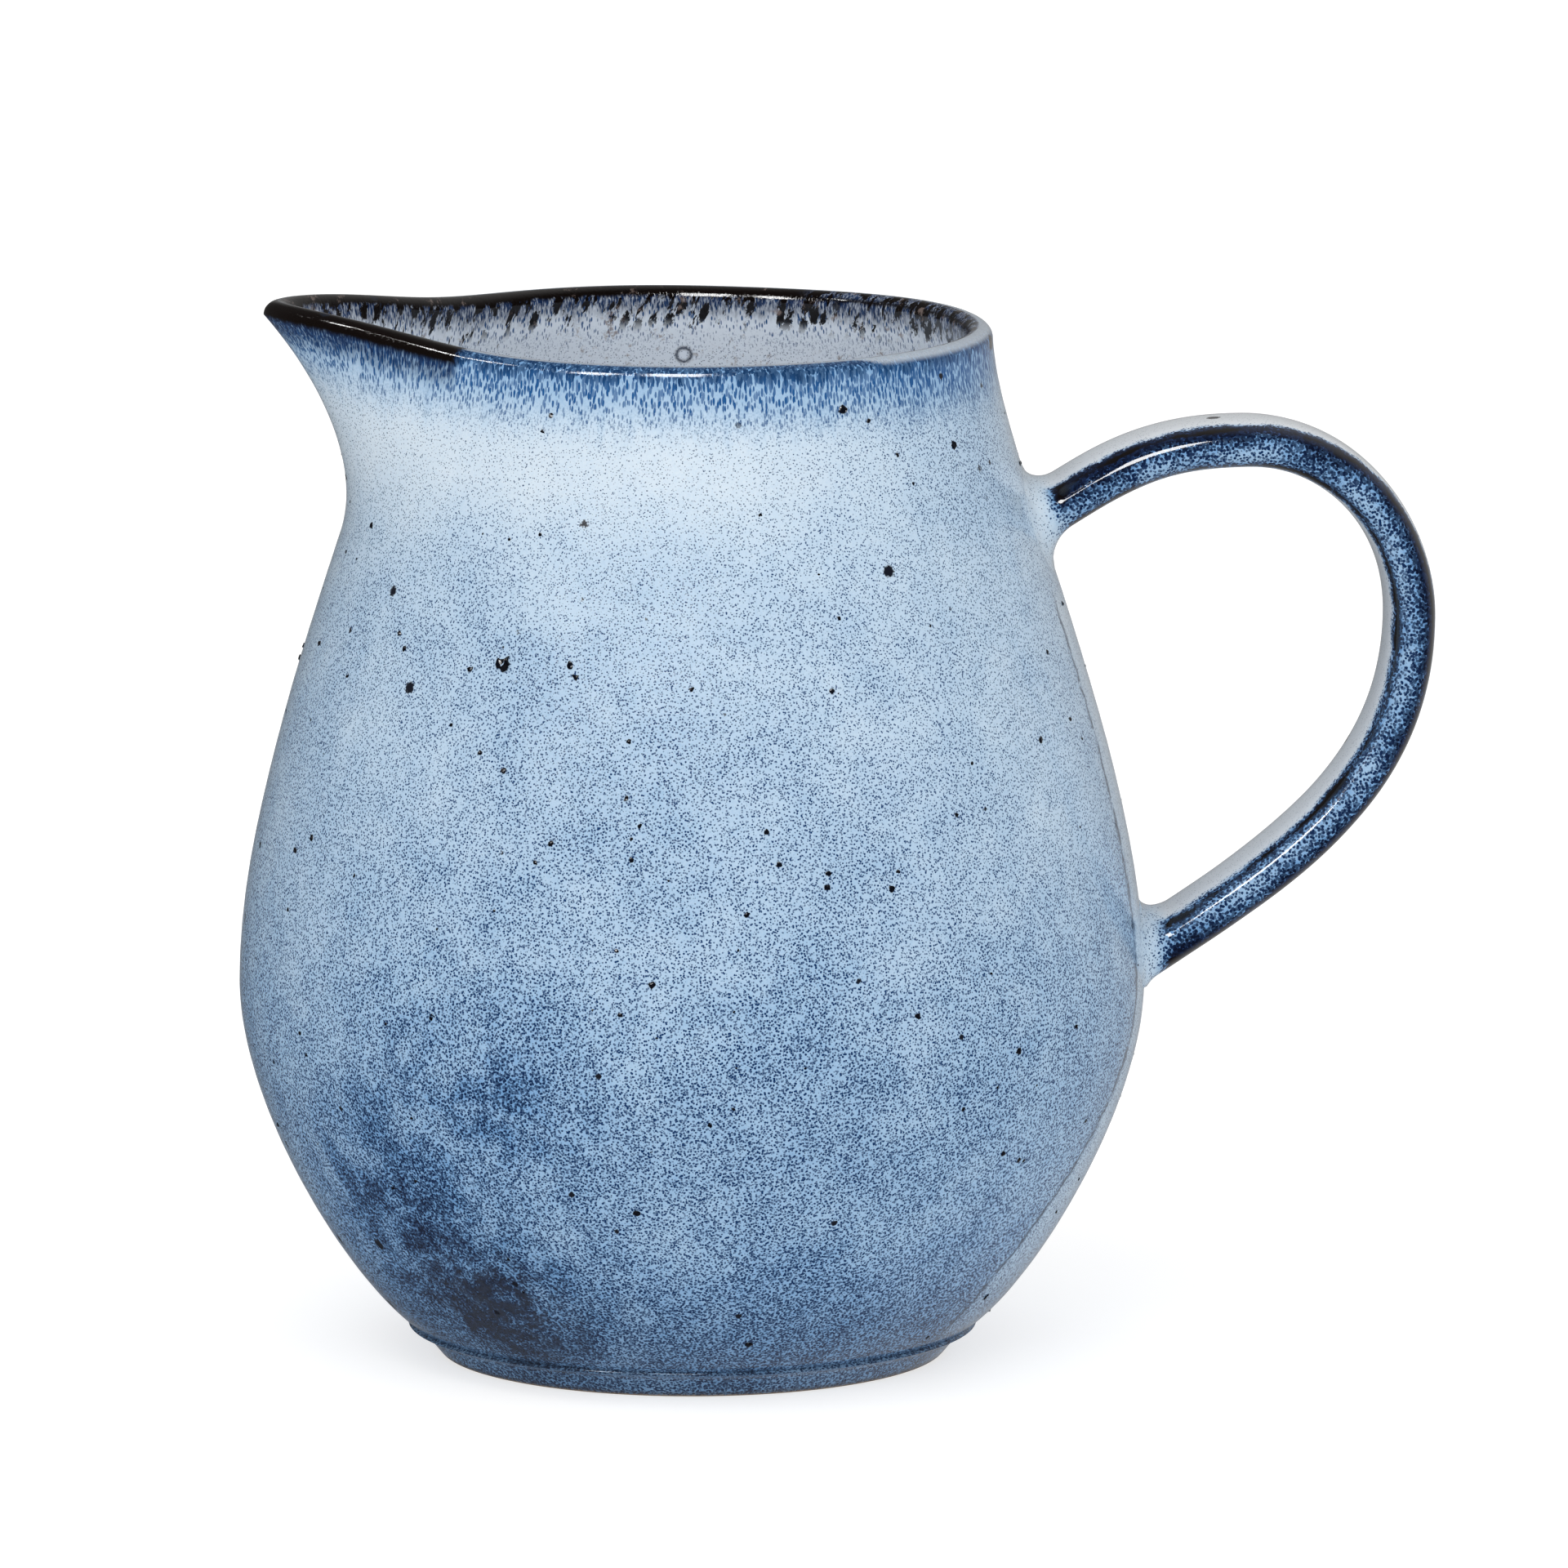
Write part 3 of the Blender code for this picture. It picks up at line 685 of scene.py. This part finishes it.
def strapLine(s):  # the strap's middle line from inside the wall to inside the wall, and how wide it spreads
    upper = vessel["rimHeight"] - s["belowRim"]
    lower = upper - s["span"]
    upperWay = Vector((math.cos(s["upperAngle"]), 0, math.sin(s["upperAngle"])))
    lowerWay = Vector((math.cos(s["lowerAngle"]), 0, math.sin(s["lowerAngle"])))
    upperRoot, lowerRoot = Vector((wallRadius(upper), 0, upper)), Vector((wallRadius(lower), 0, lower))
    start, end = upperRoot + upperWay * s["rootLength"], lowerRoot + lowerWay * s["rootLength"]
    outermost = Vector((vessel["bellyRadius"] + s["reach"], 0, upper - s["shoulder"]))
    top = Vector(((start.x + outermost.x) / 2, 0, upper + s["arch"]))
    stops = [(start, upperWay), (top, Vector((1, 0, 0))), (outermost, Vector((0, 0, -1))), (end, -lowerWay)]
    arc = []
    for (a, aWay), (b, bWay) in zip(stops, stops[1:]):
        pull = s["tension"] * (b - a).length
        arc += bow(a, a + aWay * pull, b - bWay * pull, b, s["archRows"])

    shares = [i / s["rootRows"] for i in range(s["rootRows"])]

    def onRoot(base, way, t):  # 0 sunk in the wall, 1 where the arch starts
        return base + way * (s["rootLength"] * t - s["embed"] * (1 - t) * 2)

    before = [onRoot(upperRoot, upperWay, t) for t in shares]
    after = [onRoot(lowerRoot, lowerWay, 1 - t) for t in shares]
    points = [before[0] - upperWay * 0.1 * mm] + before + arc + after + [after[-1] - lowerWay * 0.1 * mm]
    spread = [0.0] + [1.0] * (len(points) - 2) + [0.0]
    return polyline("strap_line", [(p.x + axisX, 0, p.z) for p in points], spread=spread)


def strapTree(sizes):  # sweeps a squared-off oval along the line and melts its ends into the wall
    start, keys = startTree("pulled_strap", sizes)
    size = start.other
    shell = start.node("GeometryNodeObjectInfo", {}, {"Object": size("Vessel")}, "Geometry")
    here, facing = start.node("GeometryNodeInputPosition"), start.node("GeometryNodeInputNormal")
    sheet, turn, along, fromLine = wrapRows(start, size("Sides"))
    middle = fromLine(here)
    curve = start.node("GeometryNodeMeshToCurve", {}, {0: start.other("Geometry")})
    way = fromLine(start.node("GeometryNodeInputTangent"), source=curve)
    acrossWay = start.join(0.0, 1.0, 0.0)
    loopWay = start.vectors("NORMALIZE", start.vectors("CROSS_PRODUCT", acrossWay, way))
    spread = fromLine(fact(start, "spread"), "FLOAT")

    def squared(swing, power):
        return swing.maths("SIGN", swing) * abs(swing) ** power

    def moved(place, across, through):  # by so much across the strap and through it
        step = start.vectors("ADD", acrossWay.scaled(across * spread), loopWay.scaled(through * spread))
        return start.vectors("ADD", place, step)

    power = 2.0 / size("Squareness")
    swing, cross = turn.maths("COSINE", turn), turn.maths("SINE", turn)
    across, through = squared(swing, power), squared(cross, power)
    halfWidth, halfThick = size("Width") / 2, size("Thickness") / 2
    worn = 1 - middle.noise(55.0, 1.0) * size("Unevenness") / halfThick
    plain = moved(middle, across * halfWidth * worn, through * halfThick * worn)
    touch, touchFacing = nearest(start, shell, here, plain), nearest(start, shell, facing, plain)
    away = start.vectors("DOT_PRODUCT", start.vectors("SUBTRACT", plain, touch), touchFacing, out="Value")

    # the slip: a fillet that grows as the strap nears the wall, sized by end and by side
    lowerEnd = along.step(0.499, 0.501)
    loopSide = through * 0.5 + 0.5
    upperFillet = size("Upper back fillet") * (1 - loopSide) + size("Upper loop fillet") * loopSide
    lowerFillet = size("Lower back fillet") * (1 - loopSide) + size("Lower loop fillet") * loopSide
    fillet = upperFillet * (1 - lowerEnd) + lowerFillet * lowerEnd
    left = (fillet - away.most(0.0)).most(0.0)
    melt = fillet - (fillet * fillet - left * left).most(0.0) ** 0.5 + (-away).most(0.0) * 2.0
    outA = squared(across, size("Squareness") - 1.0) / halfWidth
    outB = squared(through, size("Squareness") - 1.0) / halfThick
    outLength = (outA * outA + outB * outB) ** 0.5
    flared = moved(plain, outA / outLength * melt, outB / outLength * melt)

    # close to the wall the points follow it instead
    foot, footFacing = nearest(start, shell, here, flared), nearest(start, shell, facing, flared)
    sunk = start.vectors("ADD", foot, footFacing.scaled(away.most(away * 0.12)))
    near = (1 - (away / fillet).step(0.55, 1.0)) * spread
    place = start.node("ShaderNodeMix", {"data_type": "VECTOR"}, {0: near, 4: flared, 5: sunk}, 1)
    faceward = start.maths("ARCCOSINE", abs(swing)) / (math.pi / 2)
    sheet = keep(start, sheet, faceward=faceward, loopward=loopSide, fromWall=away / mm)
    endTree(start, closeUp(start, sheet, place))
    return start.tree, keys


strapNodes, strapKeys = strapTree(strapSizes)
handle = grown("pulled_handle", strapLine(strap), strapNodes, strapKeys, strapSizes)
print("handle pulled", len(handle.data.polygons))


specks = {
    # turn from the spout in degrees (below 0 on the near side), height and width in mm
    "placed": [(-55.5, 115.5, 2.3), (-66.5, 116, 1.1), (-67.5, 114.5, 1.3), (-140, 145.5, 1.4),
               (-114, 153, 1.4), (-80, 69.5, 1.1), (-95, 10, 1.3), (-20, 83, 1.2), (-113, 85, 1.1),
               (-18, 132, 1.1), (-76, 105.5, 1.0), (-58, 100, 0.9), (-54, 102.5, 1.0), (-76, 97, 0.9),
               (-78, 93, 0.8), (-66, 90, 0.9), (-64, 87, 0.8), (-95, 92, 0.9), (-77, 88, 0.8),
               (-85, 113, 0.8), (-106, 112, 0.9)],
    "sizes": {"Density": 3600.0, "Smallest": 0.00020, "Largest": 0.00056, "Flatness": 0.28,
              "Clear of lip": 5.0, "Raggedness": 0.9, "Seed": 11, "Vessel": pitcher, "Glaze": ironBlack},
}


def speckSeeds(placed):
    points, widths = [], []
    for degrees, height, width in placed:
        turn, radius = math.radians(degrees), wallRadius(height * mm)
        points.append((axisX - radius * math.cos(turn), radius * math.sin(turn), height * mm))
        widths.append(width * mm)
    return pointMesh("speck_seeds", points, [], breadth=widths)


def speckTree(sizes):  # flat blebs of iron: the placed ones, and a seeded scatter over the outside
    start, keys = startTree("iron_specks", sizes)
    size = start.other
    shell = start.node("GeometryNodeObjectInfo", {}, {"Object": size("Vessel")}, "Geometry")
    here, facing = start.node("GeometryNodeInputPosition"), start.node("GeometryNodeInputNormal")
    seeds = start.node("GeometryNodeSetPosition", {}, {"Geometry": start.other("Geometry"),
                                                       "Position": nearest(start, shell, here, here)})
    seeds = start.node("GeometryNodeMeshToPoints", {}, {"Mesh": seeds})
    belowLip = start.maths("GREATER_THAN", fact(start, "lipDown"), size("Clear of lip"))
    strewn = start.node("GeometryNodeDistributePointsOnFaces", {"distribute_method": "RANDOM"},
                        {"Mesh": shell, "Selection": belowLip * (1 - fact(start, "inner")),
                         "Density": size("Density"), "Seed": size("Seed")})
    lot = start.node("FunctionNodeRandomValue", {"data_type": "FLOAT"},
                     {"Min": size("Smallest"), "Max": size("Largest"), "Seed": size("Seed") + 1}, 1)
    crowd = here.noise(22.0).step(0.28, 0.58)  # they come in crowds, with bare stretches between
    strewn = keep(start, strewn, breadth=lot * 2 * crowd)
    points = start.node("GeometryNodeJoinGeometry")
    for line in (strewn, seeds):
        start.tree.links.new(line.socket, points.socket.node.inputs[0])
    breadth = fact(start, "breadth")
    upright = start.node("FunctionNodeAlignRotationToVector", {"axis": "Z"},
                         {"Vector": nearest(start, shell, facing, here)})
    bleb = start.node("GeometryNodeMeshIcoSphere", {}, {"Radius": 0.5, "Subdivisions": 2})
    placed = start.node("GeometryNodeInstanceOnPoints", {},
                        {"Points": points, "Instance": bleb, "Rotation": upright,
                         "Scale": start.join(breadth, breadth, breadth * size("Flatness"))})
    lumps = start.node("GeometryNodeRealizeInstances", {}, {0: placed})
    ragged = start.vectors("SUBTRACT", here.noise(1500.0, 1.0, out="Color"), (0.5, 0.5, 0.5))
    shift = ragged.scaled(breadth * size("Raggedness"))
    endTree(start, start.node("GeometryNodeSetPosition", {}, {"Geometry": lumps, "Offset": shift}))
    return start.tree, keys


speckNodes, speckKeys = speckTree(specks["sizes"])
ironSpecks = grown("iron_specks", speckSeeds(specks["placed"]), speckNodes, speckKeys, specks["sizes"])
print("iron specks", len(ironSpecks.data.polygons))


for piece, nodes, slot in ((pitcher, ["body"], "pale_blue_glaze"),
                           (footRing, ["foot_ring"], "foot_glaze"),
                           (handle, ["handle", "upper_slip_collar", "lower_slip_collar"], "deep_blue_glaze"),
                           (ironSpecks, [], "pale_blue_glaze")):
    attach(piece, "root")
    if nodes:
        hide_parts(*nodes)


studio = {
    "floorSize": 14.0, "floorShade": 0.50, "floorGlow": 0.66,
    # the white room's own light, how it leans right and back, and what the glaze mirrors of it
    "wash": 0.585, "washLean": 0.17, "washBack": 0.25, "dim": 0.02, "backLeft": 0.06, "backRight": 0.30,
    # degrees left of the front and up, distance, size, power, and what each light shows in
    "softboxes": {"key_high_left": (53, 57, 2.0, (0.9, 0.25), 5, "fill"),
                  "glint_left": (46, 41, 2.1, (0.40, 0.70), 22, "glints"),
                  "glint_front": (12, 47, 2.0, (0.60, 0.85), 34, "glints"),
                  "glint_side": (86, 44, 2.0, (0.10, 0.25), 2.5, "glints")},
    "ceilingPower": 1.5, "ceilingSpread": 60, "ceilingTip": 48, "ceilingLean": -4,
    "lens": 422.8, "distance": 2.84, "lookDown": 9.95, "yaw": 5.0,
    "aimRight": 0.0142, "aimUp": 0.0082, "pivotHeight": 0.080,
}

bpy.ops.mesh.primitive_plane_add(size=studio["floorSize"], location=(0, 0, 0))
floor = bpy.context.object
floor.name = "studio_floor"
floorMaterial = bpy.data.materials.new("studio_white")
floorMaterial.use_nodes = True
matte = floorMaterial.node_tree.nodes["Principled BSDF"]
matte.inputs["Base Color"].default_value = (studio["floorShade"],) * 3 + (1.0,)
matte.inputs["Roughness"].default_value = 0.9
matte.inputs["Specular IOR Level"].default_value = 0.1
matte.inputs["Emission Color"].default_value = (1, 1, 1, 1)
matte.inputs["Emission Strength"].default_value = studio["floorGlow"]
floor.data.materials.append(floorMaterial)
floor.visible_glossy = False  # or the silhouette mirrors the floor behind as a white edge

world = bpy.data.worlds.new("white_room")
bpy.context.scene.world = world
world.use_nodes = True
world.node_tree.nodes.clear()
w = Wire(world.node_tree)
rightward, backward, _ = w.node("ShaderNodeTexCoord", out="Generated").parts()
seen = w.node("ShaderNodeLightPath", out="Is Camera Ray")
shiny = seen.other("Is Glossy Ray")
mirrored = backward.step(-0.25, 0.5) * (studio["backLeft"] + rightward.step(-0.3, 0.3) * studio["backRight"])
wash = studio["wash"] * (1 + rightward * studio["washLean"] + backward * studio["washBack"])
glow = (wash * (1 - shiny) + (mirrored + studio["dim"]) * shiny) * (1 - seen) + seen
background = w.node("ShaderNodeBackground", {}, {"Color": (1, 1, 1, 1), "Strength": glow})
w.node("ShaderNodeOutputWorld", {}, {"Surface": background})


def softbox(name, azimuth, elevation, distance, size, power, shows):
    light = bpy.data.lights.new(name, "AREA")
    light.shape, light.size, light.size_y, light.energy = "RECTANGLE", size[0], size[1], power
    lamp = bpy.data.objects.new(name, light)
    a, e = math.radians(azimuth), math.radians(elevation)
    away = Vector((-math.sin(a) * math.cos(e), -math.cos(a) * math.cos(e), math.sin(e)))
    lamp.location = Vector((axisX, 0, studio["pivotHeight"])) + away * distance
    lamp.rotation_euler = (-away).to_track_quat("-Z", "Y").to_euler()
    lamp.visible_diffuse, lamp.visible_glossy = shows != "glints", shows != "fill"
    bpy.context.scene.collection.objects.link(lamp)


for name, values in studio["softboxes"].items():
    softbox(name, *values)
sun = bpy.data.lights.new("ceiling", "SUN")
sun.energy, sun.angle = studio["ceilingPower"], math.radians(studio["ceilingSpread"])
ceiling = bpy.data.objects.new("ceiling", sun)
ceiling.rotation_euler = (math.radians(studio["ceilingTip"]), math.radians(studio["ceilingLean"]), 0)
ceiling.visible_glossy = False
bpy.context.scene.collection.objects.link(ceiling)

camera = bpy.data.cameras.new("camera")
camera.lens, camera.sensor_width = studio["lens"], 36.0
camera.clip_end = 100.0
shooter = bpy.data.objects.new("camera", camera)
bpy.context.scene.collection.objects.link(shooter)
yaw, tip = math.radians(studio["yaw"]), math.radians(studio["lookDown"])
backed, raised = studio["distance"] * math.cos(tip), studio["distance"] * math.sin(tip)
pivot = Vector((axisX, 0, studio["pivotHeight"]))
shooter.location = pivot + Vector((-math.sin(yaw) * backed, -math.cos(yaw) * backed, raised))
sideways = Vector((math.cos(yaw), -math.sin(yaw), 0))
upward = sideways.cross(pivot - shooter.location).normalized()
aim = pivot + sideways * studio["aimRight"] + upward * studio["aimUp"]
shooter.rotation_euler = (aim - shooter.location).to_track_quat("-Z", "Y").to_euler()
bpy.context.scene.camera = shooter
bpy.context.scene.view_settings.view_transform = "Standard"
print("studio set")
